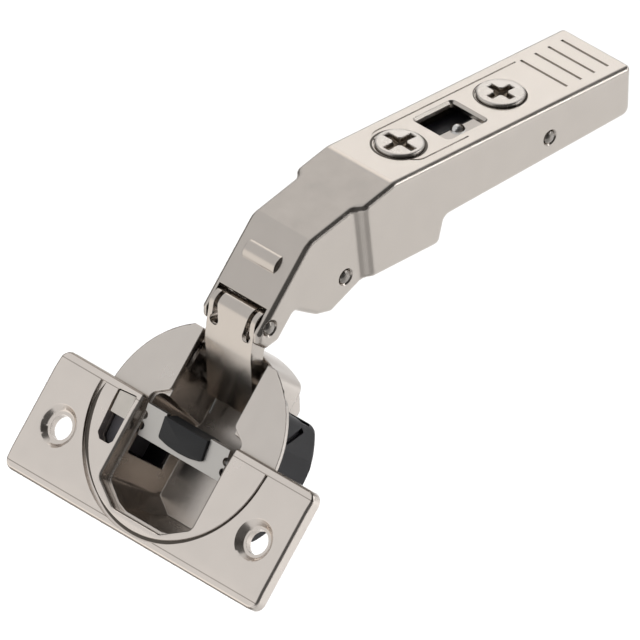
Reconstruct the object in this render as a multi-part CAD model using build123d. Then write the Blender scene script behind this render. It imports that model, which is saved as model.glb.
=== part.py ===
from build123d import *
import os
from math import atan2, cos, degrees, hypot, radians, sin

# Concealed cup hinge with an angled arm, shown open. Millimetres.
# The origin is the cup centre on the door's inner face. +X runs along the two door screws,
# +Y points to the door's edge and the arm, +Z points out of the door.

# Sheet stock and running gaps
arm_sheet = 1.2
link_sheet = 1.0
cup_sheet = 0.8
pin_gap = 0.04
fixed_gap = 0.02

# Flange plate that is screwed to the door
flange_length = 57.8
flange_height = 2.4
flange_back_y = -19.5
flange_front_y = 2.0
flange_corner_r = 1.8
flange_roll = 0.6
flange_slope_width = 3.4
flange_slope_drop = 0.3
mouth_lip_r = 0.6
flange_rim_wall = 0.85
screw_spacing = 45.0
screw_line_y = -9.5
screw_hole_r = 2.1
screw_sink_r = 3.7
screw_sink_depth = 1.1
groove_r = 18.5
groove_width = 1.25
groove_shift = 0.35
groove_depth = 0.55
groove_centre_y = 0.2

# Rim disc and pot, for a 35 mm hole drilled in the door
pot_r = 17.3
rim_r = 18.5
rim_thickness = 0.8
rim_cut_y = 16.0
mouth_half_width = 10.4
mouth_back_y = -16.4
mouth_chamfer_x = 5.2
mouth_chamfer_y = 3.2
mouth_front_y = 3.6
mouth_corner_r = 1.6
mouth_shoulder_depth = 1.2
mouth_shoulder_r = 0.9
slot_half_width = 7.35
floor_z = -11.2
wall_taper = 11.0
nose_half_width = 8.4
nose_corner_r = 1.8
nose_back_y = pot_r - 8.3
nose_depth = 9.2

# Four-bar linkage in the y, z plane
front_pin_y, front_pin_z = pot_r + 4.1, 4.0
second_pin_y, second_pin_z = front_pin_y + 12.75, front_pin_z - 11.64
outer_pivot_y, outer_pivot_z = pot_r - 7.8, -7.5
inner_pivot_y, inner_pivot_z = pot_r - 4.8, -4.5
arm_pin_r = 1.2
cup_pin_r = 1.0
cup_pin_wall = 0.8
pin_end = 0.35
pin_dome_r = 0.3
pin_sink = 0.4

# Outer link
link_half_width = 5.2
web_bend_y, web_bend_z = front_pin_y - 6.0, front_pin_z - 1.2
web_foot_y, web_foot_z = outer_pivot_y - 2.9, outer_pivot_z + 1.5
web_bend_r = 12.0
flange_depth = 2.9
eye_half_width = 3.4
relief_r = 0.85

# Inner link
inner_half_width = 2.2
inner_waist = 0.65
loose_hole_length = 2.2
loose_hole_gap = 0.35
loose_eye_wall = 1.1

# Arm: top line from the nose to the rear, angles from the door plane
nose_end_y = front_pin_y + 2.55
nose_top_z = front_pin_z + 1.69
nose_bend_y = front_pin_y + 14.89
mid_angle = -36.7
mid_length = 18.7
main_angle = -51.4
main_length = 54.6
front_half_width = 6.6
rear_half_width = 8.0
joggle_start = front_pin_y + 12.6
joggle_end = joggle_start + 1.4
joggle_angle = 48.6
fold_r = 1.0
plan_corner_r = 1.6
ear_r = 3.4
ridge_half_length = 3.55
ridge_r = 2.0
ridge_height = 0.75
ridge_shift = -0.35
ridge_to_bend = 5.34

# Fittings along the arm's main stretch, measured from its first bend
side_screw_u = 9.0
depth_screw_u = 32.3
axle_u = 36.0
axle_depth = 6.0
screw_head_r = 4.1
screw_head_height = 0.9
screw_neck_r = 2.0
recess_length, recess_width = 5.0, 1.15
window_start, window_end = 16.3, 25.0
window_half_width = 3.85
window_bevel = 0.45
rail_window_start, rail_window_end = 15.6, 29.5
rail_window_half = 3.4
rib_positions = tuple(main_length - back for back in (12.3, 9.0, 5.9, 2.8))
rib_half_length = 5.3
panel_start, panel_half_width, panel_shoulder = 4.7, 5.5, 3.2
mark_depth = 0.15

# Clip rail inside the arm
rail_half_width = 6.3
rail_start, rail_end = 2.6, main_length - 2.6
rail_top = 3.0
rail_depth = 9.0
cam_offset = 2.4
cam_peg_r = 0.9
cam_play = 0.2
cross_slot_extra = 2.8
rail_travel = 2.0
sleeve_r = 1.6
axle_r = 1.1
latch_pivot_u = rail_end - 7.0
latch_pivot_depth = 6.6
latch_hub_r = 2.2

# Damper in the cup
damper_x = 11.8
damper_z = -7.6
damper_r = 2.0
damper_bore_r = 1.4
damper_back_y, damper_front_y = 1.0, 10.2
damper_travel = 5.0
rod_r = 0.6
housing_half_length = 10.6
housing_bottom = 11.0
housing_corner_r = 2.2
housing_flat_x = 16.35
housing_slot_length = 5.6
housing_slot_width = 0.9
housing_slot_angle = 27.5
housing_slot_lean = 35.6
housing_slot_z = -4.1
frame_half_length = 9.4
frame_notch_r = 0.75
frame_front_y, frame_front_z = 1.2, 0.1
frame_back_y, frame_back_z = -4.2, -1.5
frame_sheet = 0.9
ear_width = 1.4
ear_y1 = -0.8
ear_y0 = ear_y1 - ear_width
ear_top = -0.9
ear_reach = damper_x + 1.0
ear_bottom = damper_z - 1.0
pad_half_length = 5.0
pad_thickness = 2.0
pad_corner_r = 2.6

os.makedirs("parts", exist_ok=True)

side_plane = Plane(origin=(0, 0, 0), x_dir=(0, 1, 0), z_dir=(1, 0, 0))


def write(shape, name):
    export_step(shape, f"parts/{name}.step")


def across(sketch, half_width, plane=side_plane):
    """Solid from a side outline, symmetric about x = 0."""
    return extrude(plane * sketch, amount=half_width, both=True)


def disc_at(y, z, r):
    return Pos(y, z) * Circle(r)


def rod_x(y, z, r, x_from, x_to):
    """Round bar along X."""
    return Pos(x_from, y, z) * extrude(side_plane * Circle(r), amount=x_to - x_from)


def box(x0, x1, y0, y1, z0, z1):
    return Pos((x0 + x1) / 2, (y0 + y1) / 2, (z0 + z1) / 2) * Box(x1 - x0, y1 - y0, z1 - z0)


def capsule(y0, z0, r0, y1, z1, r1):
    """Tapered strap between two circles in the side plane."""
    first = disc_at(y0, z0, r0)
    second = disc_at(y1, z1, r1)
    return make_hull(first.edges() + second.edges())


def direction(angle):
    return cos(radians(angle)), sin(radians(angle))


def below(point, angle_before, angle_after, depth):
    """Corner of a line that runs parallel to a bent line, at a depth under it."""
    half = (angle_after - angle_before) / 2
    middle = radians((angle_before + angle_after) / 2)
    reach = depth / cos(radians(half))
    return point[0] + reach * sin(middle), point[1] - reach * cos(middle)


# Bends of the arm's top line
nose_end = (nose_end_y, nose_top_z)
nose_bend = (nose_bend_y, nose_top_z)
mid_dir = direction(mid_angle)
main_dir = direction(main_angle)
main_bend = (nose_bend[0] + mid_length * mid_dir[0], nose_bend[1] + mid_length * mid_dir[1])
arm_plane = Plane(origin=(0, *main_bend), x_dir=(0, *main_dir), z_dir=(1, 0, 0))


def on_arm(u, h):
    """Point of the side plane at u along the main stretch and h above its top."""
    return main_bend[0] + u * main_dir[0] - h * main_dir[1], main_bend[1] + u * main_dir[1] + h * main_dir[0]


def top_plane(u, h=0.0):
    """Plane on the arm's top, looking out of it."""
    return Plane(origin=(0, *on_arm(u, h)), x_dir=(1, 0, 0), z_dir=(0, -main_dir[1], main_dir[0]))


# Pivot of the second pin seen from the inner link
second_pin = (second_pin_y, second_pin_z)
front_pin = (front_pin_y, front_pin_z)
outer_pivot = (outer_pivot_y, outer_pivot_z)
inner_pivot = (inner_pivot_y, inner_pivot_z)


def mouth_outline(shrink=0.0):
    """Opening of the cup: a wide mouth under the flange and a slot towards the arm."""
    half = mouth_half_width - shrink
    back = mouth_back_y + shrink
    shoulder = back + mouth_chamfer_y
    points = [
        (-half, mouth_front_y),
        (-half, shoulder),
        (-mouth_chamfer_x, back),
        (mouth_chamfer_x, back),
        (half, shoulder),
        (half, mouth_front_y),
    ]
    wide = make_face(Polyline(*points, close=True))
    return fillet(wide.vertices(), mouth_corner_r)


def cup_mouth_cut(z0, z1):
    """Clear way of mouth and slot through the rim disc or the flange plate."""
    wide = Pos(0, 0, z0) * extrude(mouth_outline(), amount=z1 - z0)
    shoulder_top = (mouth_half_width - 0.3, mouth_front_y - mouth_shoulder_depth / 2)
    shoulder_foot = (slot_half_width, mouth_front_y + mouth_shoulder_depth)
    side = [(mouth_half_width, 0), shoulder_top, shoulder_foot]
    right = [(0, 0), *side, (slot_half_width, rim_r + 1), (0, rim_r + 1)]
    half = make_face(Polyline(*right, close=True))
    corners = half.vertices().filter_by(lambda v: 0 < v.X and 0.5 < v.Y < rim_r)
    half = fillet(corners, mouth_shoulder_r)
    way = Pos(0, 0, z0) * extrude(half + mirror(half, Plane.YZ), amount=z1 - z0)
    return wide + way


def pot_body(grow, bottom, nose_r, nose_half, nose_bottom):
    """Deep-drawn pot form; grow is its distance outside the inner walls."""
    wide = extrude(offset(mouth_outline(0.4), grow), amount=bottom, dir=(0, 0, -1), taper=wall_taper)
    narrow_half = slot_half_width + grow
    narrow = box(-narrow_half, narrow_half, -2, nose_back_y + 4.6 + grow, -bottom, 0)
    nose_plan = Circle(nose_r) & Pos(0, (nose_back_y - grow + nose_r) / 2) * Rectangle(
        2 * nose_half, nose_r - nose_back_y + grow
    )
    outer_corners = nose_plan.vertices().group_by(Axis.Y)[-1]
    nose_plan = fillet(outer_corners, nose_corner_r - cup_sheet + grow)
    body = wide + narrow + extrude(nose_plan, amount=nose_bottom, dir=(0, 0, -1))
    return body & extrude(Circle(nose_r), amount=bottom, dir=(0, 0, -1))


def pot_outside(extra=0.0):
    depth = -floor_z + cup_sheet + extra
    return pot_body(cup_sheet + extra, depth, pot_r, nose_half_width + extra, nose_depth + extra)


def make_hinge_cup():
    inside = pot_body(0.0, -floor_z, pot_r - cup_sheet, nose_half_width - cup_sheet, nose_depth - cup_sheet)
    rim = extrude(Circle(rim_r), amount=rim_thickness)
    rim -= box(-rim_r, rim_r, rim_cut_y, rim_r + 1, -1, 2)
    rim -= cup_mouth_cut(-0.5, rim_thickness + 1)
    rim -= switch_slot(-1, rim_thickness + 1)
    cup = rim + (pot_outside() - inside)
    for side in (-1, 1):
        ear_way = box(8.0, 13.0, ear_y0 - damper_travel - 0.5, ear_y1 + 0.4, ear_bottom - 0.4, ear_top + 0.3)
        cup -= ear_way if side > 0 else mirror(ear_way, Plane.YZ)
    # The nose wall is lower in the slot, and notched where the inner link lies over it
    cup -= box(-slot_half_width, slot_half_width, rim_cut_y - 1, pot_r + 1, -0.9, 0.1)
    cup -= box(-inner_half_width - 0.7, inner_half_width + 0.7, rim_cut_y - 1, pot_r + 1, -2.0, 0.1)
    for y, z in (outer_pivot, inner_pivot):
        cup -= rod_x(y, z, cup_pin_r + fixed_gap, -rim_r, rim_r)
    return cup


def switch_slot(z0, z1):
    """Slot for the damper switch, left of the mouth."""
    outline = [(-15.5, 0.8), (-11.5, 1.1), (-11.4, -7.2), (-12.0, -7.9), (-14.0, -7.9), (-14.95, -7.0)]
    face = fillet(make_face(Polyline(*outline, close=True)).vertices(), 0.35)
    return Pos(0, 0, z0) * extrude(face, amount=z1 - z0)


def make_flange_plate():
    middle_y = (flange_back_y + flange_front_y) / 2
    width = flange_front_y - flange_back_y
    outline = RectangleRounded(flange_length, width, flange_corner_r)
    plate = Pos(0, middle_y, 0) * extrude(outline, amount=flange_height)
    # The sheet slopes a little before it rolls down at the rim
    low = flange_height - flange_slope_drop
    for edge_y, inward in ((flange_back_y, 1), (flange_front_y, -1)):
        top = (edge_y + inward * flange_slope_width, flange_height)
        slope = make_face(Polyline((edge_y, low), top, (edge_y, flange_height + 1), close=True))
        plate -= across(slope, flange_length)
    rolled = plate.edges().filter_by(lambda e: on_flange_rim(e, middle_y, width))
    plate = fillet(rolled, flange_roll)
    inset = RectangleRounded(
        flange_length - 2 * flange_rim_wall, width - 2 * flange_rim_wall, flange_corner_r - flange_rim_wall
    )
    hollow = Pos(0, middle_y, 0) * extrude(inset, amount=rim_thickness)
    for x in (-screw_spacing / 2, screw_spacing / 2):
        boss = Pos(x, screw_line_y) * Circle(screw_sink_r + 0.5)
        hollow -= extrude(boss, amount=rim_thickness)
    plate -= hollow
    plate -= extrude(Circle(rim_r), amount=rim_thickness)
    plate -= Pos(0, 0, -1) * extrude(mouth_outline(), amount=flange_height + 2)
    lip = plate.edges().filter_by(lambda e: on_mouth_lip(e))
    plate = fillet(lip, mouth_lip_r)
    plate -= switch_slot(-1, flange_height + 1)
    # Crescent groove, widest at the left and tapering round to the right
    outer_edge = Pos(-groove_shift, 0) * Circle(groove_r + groove_width / 2)
    ring = outer_edge - Circle(groove_r - groove_width / 2 + groove_shift)
    groove = Pos(0, groove_centre_y, flange_height - groove_depth) * extrude(ring, amount=groove_depth + 1)
    plate -= groove & box(-30, 30, -30, groove_centre_y + 0.4, 0, 5)
    for x in (-screw_spacing / 2, screw_spacing / 2):
        plate -= Pos(x, screw_line_y, 0) * Cylinder(screw_hole_r, 4 * flange_height)
        sink = Cone(screw_hole_r + 0.5, screw_sink_r, screw_sink_depth)
        plate -= Pos(x, screw_line_y, flange_height - screw_sink_depth / 2) * sink
    return plate


def on_mouth_lip(edge):
    """True for the upper edges of the mouth in the plate."""
    middle = edge @ 0.5
    points = [edge @ 0, middle, edge @ 1]
    inside = all(abs(p.X) < mouth_half_width + 0.1 and p.Y > mouth_back_y - 0.1 for p in points)
    high = all(p.Z > flange_height - 0.01 for p in points)
    return inside and high and middle.Y < flange_front_y - 0.05


def on_flange_rim(edge, middle_y, width):
    """True for the upper edges of the plate's outer wall."""
    ends = [edge @ 0, edge @ 0.5, edge @ 1]
    half_x, half_y = flange_length / 2 - flange_corner_r, width / 2 - flange_corner_r
    outside = all(abs(p.X) > half_x - 0.01 or abs(p.Y - middle_y) > half_y - 0.01 for p in ends)
    on_wall = all(wall_gap(p, middle_y, half_x, half_y) < 0.02 for p in ends)
    return outside and on_wall and all(p.Z > flange_height - flange_slope_drop - 0.05 for p in ends)


def wall_gap(p, middle_y, half_x, half_y):
    """How far a point is from the rounded outer wall of the plate."""
    dx = max(abs(p.X) - half_x, 0)
    dy = max(abs(p.Y - middle_y) - half_y, 0)
    return abs(hypot(dx, dy) - flange_corner_r)


def make_switch_tab():
    tab = box(-14.7, -11.75, -3.0, 0.5, 0.15, flange_height - 0.3)
    return chamfer(tab.edges().group_by(Axis.Z)[-1], 0.25)


# Dampers, the frame that the closing link pushes, and their housings
def damper_bar(r, y0, y1, side):
    start = Plane(origin=(side * damper_x, y0, damper_z), z_dir=(0, 1, 0))
    return extrude(start * Circle(r), amount=y1 - y0)


def make_damper_cylinder(side):
    body = damper_bar(damper_r, damper_back_y, damper_front_y, side)
    body -= damper_bar(damper_bore_r, damper_back_y + 0.7, damper_front_y - 0.7, side)
    return body - damper_bar(rod_r + pin_gap, damper_back_y - 1, damper_back_y + 1, side)


def make_piston_rod(side):
    rod = damper_bar(rod_r, ear_y1, damper_front_y - 1.8, side)
    return rod + damper_bar(damper_bore_r - 0.05, damper_front_y - 1.9, damper_front_y - 0.9, side)


def make_damper_housing(side):
    segment = extrude(Circle(pot_r - 0.1), amount=housing_bottom, dir=(0, 0, -1))
    block = box(8.0, pot_r, -housing_half_length, housing_half_length, -housing_bottom, 0)
    shell = segment & block
    front_corner = shell.edges().filter_by(Axis.Z).filter_by(lambda e: (e @ 0).Y > 5 and (e @ 0).X > 9)
    shell = fillet(front_corner, housing_corner_r)
    lower = shell.edges().group_by(Axis.Z)[0]
    shell = fillet(lower, 1.2)
    shell -= box(housing_flat_x, pot_r + 1, -6.5, 6.5, -housing_bottom - 1, -1.2)
    # Slanted slot in the outer wall
    slot = Rot(housing_slot_lean, 0, 0) * Box(1.8, housing_slot_width, housing_slot_length)
    shell -= Rot(0, 0, housing_slot_angle) * Pos(pot_r, 0, housing_slot_z) * slot
    shell = shell if side > 0 else mirror(shell, Plane.YZ)
    shell -= pot_outside(0.1)
    shell -= damper_bar(damper_r + 0.05, damper_back_y - 0.05, housing_half_length + 1, side)
    sweep_low = ear_y0 - damper_travel - 0.5
    way = box(8.0, ear_reach + 0.4, sweep_low, ear_y1 + 0.4, ear_bottom - 0.4, ear_top + 0.3)
    rod_way = box(damper_x - 1.0, damper_x + 1.0, ear_y1, damper_back_y, damper_z - 1.0, damper_z + 1.0)
    for cut in (way, rod_way):
        shell -= cut if side > 0 else mirror(cut, Plane.YZ)
    return shell


def frame_slope():
    return degrees(atan2(frame_front_z - frame_back_z, frame_front_y - frame_back_y))


def frame_depth():
    return hypot(frame_front_y - frame_back_y, frame_front_z - frame_back_z)


def on_frame(shape):
    """Place a shape drawn flat on the sloping middle of the frame."""
    centre_y = (frame_front_y + frame_back_y) / 2
    centre_z = (frame_front_z + frame_back_z) / 2
    return Pos(0, centre_y, centre_z) * Rot(frame_slope(), 0, 0) * shape


def pad_outline(shrink=0.0):
    """Pad seen from above, straight at the front and curved at the back."""
    half, front, back = pad_half_length - shrink, frame_depth() / 2 + 0.02, 1.5 - frame_depth() / 2 + shrink
    middle = (front + back) / 2
    outline = Pos(0, middle) * Rectangle(2 * half, front - back)
    return fillet(outline.vertices().group_by(Axis.Y)[0], pad_corner_r)


def make_actuator_frame():
    depth = frame_depth()
    plate = Box(2 * frame_half_length, depth, frame_sheet)
    for side in (-1, 1):
        for notch_y in (-1.15, 0.75):
            plate -= Pos(side * frame_half_length, notch_y, 0) * Cylinder(frame_notch_r, 3)
    plate -= extrude(pad_outline(), amount=2, both=True)
    plate = on_frame(plate)
    for side in (-1, 1):
        ear = box(7.6, ear_reach, ear_y0, ear_y1, ear_bottom, ear_top)
        plate += ear if side > 0 else mirror(ear, Plane.YZ)
    return plate


def make_actuator_pad():
    return on_frame(extrude(pad_outline(0.05), amount=pad_thickness / 2, both=True))


# Outer link: a pressed channel rolled round the front pin
web_bend = (web_bend_y, web_bend_z)
web_foot = (web_foot_y, web_foot_z)
eye_r = arm_pin_r + pin_gap + link_sheet


def tangent_on_eye(r):
    """Point where a line from the web's bend touches the upper side of the rolled eye."""
    dy, dz = front_pin_y - web_bend_y, front_pin_z - web_bend_z
    reach = hypot(dy, dz)
    angle = atan2(dz, dy)
    swing = atan2(r, (reach**2 - r**2) ** 0.5)
    length = (reach**2 - r**2) ** 0.5
    return web_bend_y + length * cos(angle + swing), web_bend_z + length * sin(angle + swing)


def web_outline():
    touch = tangent_on_eye(eye_r)
    upper = degrees(atan2(touch[1] - web_bend_z, touch[0] - web_bend_y))
    lower = degrees(atan2(web_bend_z - web_foot_z, web_bend_y - web_foot_y))
    inner_bend = below(web_bend, lower, upper, link_sheet)
    inner_touch = below(touch, upper, upper, link_sheet)
    inner_foot = below(web_foot, lower, lower, link_sheet)
    outside = FilletPolyline(touch, web_bend, web_foot, radius=web_bend_r)
    inside = FilletPolyline(inner_touch, inner_bend, inner_foot, radius=web_bend_r - link_sheet)
    ends = [Line(touch, inner_touch), Line(web_foot, inner_foot)]
    return make_face(outside.edges() + inside.edges() + ends), lower


def make_outer_link():
    web, slope = web_outline()
    out = direction(slope + 90)
    along = direction(slope)
    link = across(web, link_half_width)
    link += across(disc_at(*front_pin, eye_r), eye_half_width)
    # Side flanges: an ear at the front pin, a strip under the web and a lug at the cup pivot
    shift = flange_depth / 2
    bend_inside = (web_bend_y - shift * out[0] + 0.6, web_bend_z - shift * out[1] + 0.2)
    thin = 0.85
    reach = (outer_pivot_y - web_bend_y) * out[0] + (outer_pivot_z - web_bend_z) * out[1]
    lug_top = (outer_pivot_y - (reach + thin) * out[0], outer_pivot_z - (reach + thin) * out[1])
    middle = (lug_top[0] + 5.2 * along[0], lug_top[1] + 5.2 * along[1])
    ear = capsule(*front_pin, eye_r, *bend_inside, shift)
    strip = capsule(*bend_inside, shift, *middle, thin) + capsule(*middle, thin, *lug_top, thin)
    lug = capsule(*lug_top, thin, *outer_pivot, cup_pin_r + cup_pin_wall + 0.2)
    side = ear + strip + lug
    flanges = across(side, link_half_width) - across(side, link_half_width - link_sheet)
    link += flanges
    for y, z, r in ((*front_pin, arm_pin_r), (*outer_pivot, cup_pin_r)):
        link -= rod_x(y, z, r + pin_gap, -10, 10)
    # Teardrop reliefs between the rolled eye and the side ears
    relief_x = (eye_half_width + link_half_width - link_sheet) / 2
    relief_half = (link_half_width - link_sheet - eye_half_width) / 2
    neck = tangent_on_eye(eye_r)[0]
    for side_sign in (-1, 1):
        cut = box(-relief_half, relief_half, neck - 0.4, front_pin_y + 4, -2, 8)
        round_end = Pos(0, neck - relief_r, 3) * Rot(slope - 10, 0, 0) * Cylinder(relief_r, 8)
        link -= Pos(side_sign * relief_x, 0, 0) * (cut + round_end)
    foot_edges = link.edges().filter_by(Axis.X).group_by(Axis.Y)[0]
    return fillet(foot_edges, 0.4)


def link_path():
    """Strap circles of the inner link: y, z and radius from the cup pin to the second pin."""
    under_eye = front_pin_z - eye_r - 0.3
    return [
        (inner_pivot_y, inner_pivot_z, cup_pin_r + cup_pin_wall),
        (15.9, -0.4, 0.8),
        (17.8, under_eye - inner_waist, inner_waist),
        (front_pin_y, under_eye - inner_waist, inner_waist),
        (24.6, under_eye - inner_waist + 0.1, inner_waist + 0.1),
        (27.8, -1.0, 1.3),
        (second_pin_y, second_pin_z, arm_pin_r + loose_hole_gap + 0.9 + loose_eye_wall),
    ]


def make_inner_link():
    stations = link_path()
    outline = capsule(*stations[0], *stations[1])
    for first, second in zip(stations[1:], stations[2:]):
        outline += capsule(*first, *second)
    link = across(outline, inner_half_width)
    link -= rod_x(*inner_pivot, cup_pin_r + pin_gap, -5, 5)
    # The hole for the second pin is long in the direction in which the loose pivot wanders
    wander = degrees(atan2(second_pin_z - inner_pivot_z, second_pin_y - inner_pivot_y))
    hole_r = arm_pin_r + loose_hole_gap
    hole = SlotOverall(loose_hole_length + 2 * hole_r, 2 * hole_r)
    return link - across(Pos(*second_pin) * Rot(0, 0, wander) * hole, 5)


def pin_across(point, r, half):
    pin = rod_x(*point, r, -half, half)
    return fillet(pin.edges().filter_by(GeomType.CIRCLE), pin_dome_r)


# Double torsion spring on the outer link's cup pin
wire_r = 0.35
coil_r = cup_pin_r + 0.1 + wire_r


def make_closing_spring():
    start_x = link_half_width + 0.1 + wire_r
    pitch = 2 * wire_r + 0.02
    turns = 1.5
    coil_path = Helix(pitch=pitch, height=pitch * turns, radius=coil_r, center=(0, 0, 0), direction=(0, 0, 1))
    coil = sweep(Plane(coil_path @ 0, z_dir=coil_path % 0) * Circle(wire_r), path=coil_path)
    coil = Plane(origin=(start_x, outer_pivot_y, outer_pivot_z), x_dir=(0, 0, -1), z_dir=(1, 0, 0)) * coil
    foot = Plane(origin=(start_x, outer_pivot_y, outer_pivot_z - coil_r), z_dir=(0, -1, -0.12))
    leg = extrude(foot * Circle(wire_r), amount=5.5)
    side = coil + leg
    return [side, mirror(side, Plane.YZ)]


# Arm
joggle_dir = direction(joggle_angle)
plan_plane = Plane(
    origin=(0, 0, 0), x_dir=(0, joggle_dir[1], -joggle_dir[0]), z_dir=(0, -joggle_dir[0], -joggle_dir[1])
)


def arm_plan(inset):
    """Width of the arm seen along the joggle, with the narrow front and the wide rear."""
    front = front_half_width - inset
    rear = rear_half_width - inset
    half = [(-60, 0), (-60, front), (joggle_start, front), (joggle_end, rear), (150, rear), (150, 0)]
    face = make_face(Polyline(*half, close=True))
    corners = face.vertices().filter_by(lambda v: 0 < v.X < 60)
    face = fillet(corners, plan_corner_r)
    both = face + mirror(face, Plane.XZ)
    return extrude(plan_plane * both, amount=150, both=True)


def arm_side_outline():
    points = [
        (nose_end[0] - 4.6, nose_top_z),
        nose_bend,
        main_bend,
        on_arm(main_length, 0),
        on_arm(main_length + 0.3, -9.1),
        on_arm(12.4, -11.4),
        on_arm(11.4, -16.2),
        on_arm(-3.6, -16.4),
        (28.0, -9.0),
        (26.5, -6.0),
        (25.6, 0.1),
        (front_pin_y - 1.2, 0.1),
        (front_pin_y - ear_r, 1.9),
        (front_pin_y - ear_r, 4.5),
    ]
    radii = [0.6, 3.0, 3.0, 0.4, 1.6, 1.2, 1.4, 0.8, 1.0, 1.6, 0.9, 1.0, 1.0, 0.6]
    return make_face(FilletPolyline(*points, radius=radii, close=True))


def arm_inside_outline():
    nose_in = below(nose_end, 0, 0, arm_sheet)
    bend_in = below(nose_bend, 0, mid_angle, arm_sheet)
    main_in = below(main_bend, mid_angle, main_angle, arm_sheet)
    rear_in = on_arm(main_length + 5, -arm_sheet)
    rear_low = on_arm(main_length + 5, -40)
    points = [(0, nose_in[1]), bend_in, main_in, rear_in, rear_low, (0, -60)]
    return make_face(Polyline(*points, close=True))


def cross_recess(u):
    plane = top_plane(u, screw_head_height + 0.2)
    slots = Rectangle(recess_length, recess_width) + Rectangle(recess_width, recess_length)
    return extrude(plane * slots, amount=-1.0)


def screw_head(u):
    disc = extrude(top_plane(u, -0.25) * Circle(screw_head_r), amount=screw_head_height)
    top = disc.edges().sort_by(lambda e: -e.distance_to(Vector(0, *on_arm(u, 30))))[-1]
    return fillet(top, 0.45) - cross_recess(u)


def bar_on_arm(u, h_top, h_bottom, r, x=0.0):
    plane = top_plane(u, h_top)
    return extrude(plane * Pos(x, 0) * Circle(r), amount=-(h_top - h_bottom))


def make_arm():
    outside = across(arm_side_outline(), 12) & arm_plan(0)
    def on_fold(edge):
        ends = [edge @ 0, edge @ 0.5, edge @ 1]
        return all(abs(p.X) > front_half_width - 0.3 and near_top(p) for p in ends)
    fold = outside.edges().filter_by(on_fold)
    outside = fillet(fold, fold_r)
    arm = outside - (across(arm_inside_outline(), 12) & arm_plan(arm_sheet))
    inner_half = front_half_width - arm_sheet
    arm -= box(-inner_half, inner_half, 10, nose_end_y, nose_top_z - 3, nose_top_z + 2)
    # Ridge pressed up across the nose
    ridge_y = nose_bend_y - ridge_to_bend
    ridge = across(disc_at(ridge_y, nose_top_z - ridge_r + ridge_height, ridge_r), ridge_half_length)
    ridge &= box(-9, 9, ridge_y - ridge_r, ridge_y + ridge_r, nose_top_z - 0.3, nose_top_z + 2)
    arm += Pos(ridge_shift, 0, 0) * ridge
    for u in (side_screw_u, depth_screw_u):
        arm -= bar_on_arm(u, 1.0, -0.3, screw_head_r + 0.2)
        arm -= bar_on_arm(u, 1.0, -2.0, screw_neck_r + pin_gap)
    window = Rectangle(2 * window_half_width, window_end - window_start)
    window = fillet(window.vertices(), 0.5)
    middle = (window_start + window_end) / 2
    arm -= extrude(top_plane(middle, 1) * window, amount=-3)
    bevel = extrude(top_plane(middle, 0) * offset(window, window_bevel), amount=-window_bevel, taper=45)
    arm -= bevel
    for u in rib_positions:
        arm -= extrude(top_plane(u, -0.22) * Rectangle(2 * rib_half_length, 0.5), amount=1)
    arm -= extrude(top_plane(0, -mark_depth) * panel_line(), amount=1)
    axle = (*on_arm(axle_u, -axle_depth), axle_r, rear_half_width)
    pins = [(*front_pin, arm_pin_r, front_half_width), (*second_pin, arm_pin_r, front_half_width), axle]
    for y, z, r, side_x in pins:
        arm -= rod_x(y, z, r + fixed_gap, -12, 12)
        # Each pin end sits in a small sink in the arm's side
        sink = Pos(side_x, y, z) * Rot(0, 90, 0) * Cone(r, r + 2 * pin_sink, 2 * pin_sink)
        arm -= sink + mirror(sink, Plane.YZ)
    return arm


def panel_line():
    """Thin pressed line round the screws, rounded at the front and open at the rear."""
    rear = rib_positions[0] - 1.0
    half = panel_half_width
    shoulder = panel_start + panel_shoulder
    corners = [(-half, rear), (-half, shoulder), (0, panel_start), (half, shoulder), (half, rear - 22)]
    path = FilletPolyline(*corners, radius=2.4)
    return trace(path, line_width=0.3)


def near_top(p):
    """True on the arm's top line, which bends twice."""
    flat = abs(p.Z - nose_top_z) < 0.05 and nose_end_y - 6 < p.Y < nose_bend_y
    local_y, local_z = p.Y - nose_bend[0], p.Z - nose_bend[1]
    mid = abs(local_z * mid_dir[0] - local_y * mid_dir[1])
    main_y, main_z = p.Y - main_bend[0], p.Z - main_bend[1]
    main = abs(main_z * main_dir[0] - main_y * main_dir[1])
    return flat or (mid < 0.35 and p.Y < main_bend[0] + 1) or (main < 0.05 and p.Y > main_bend[0] - 1)


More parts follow.
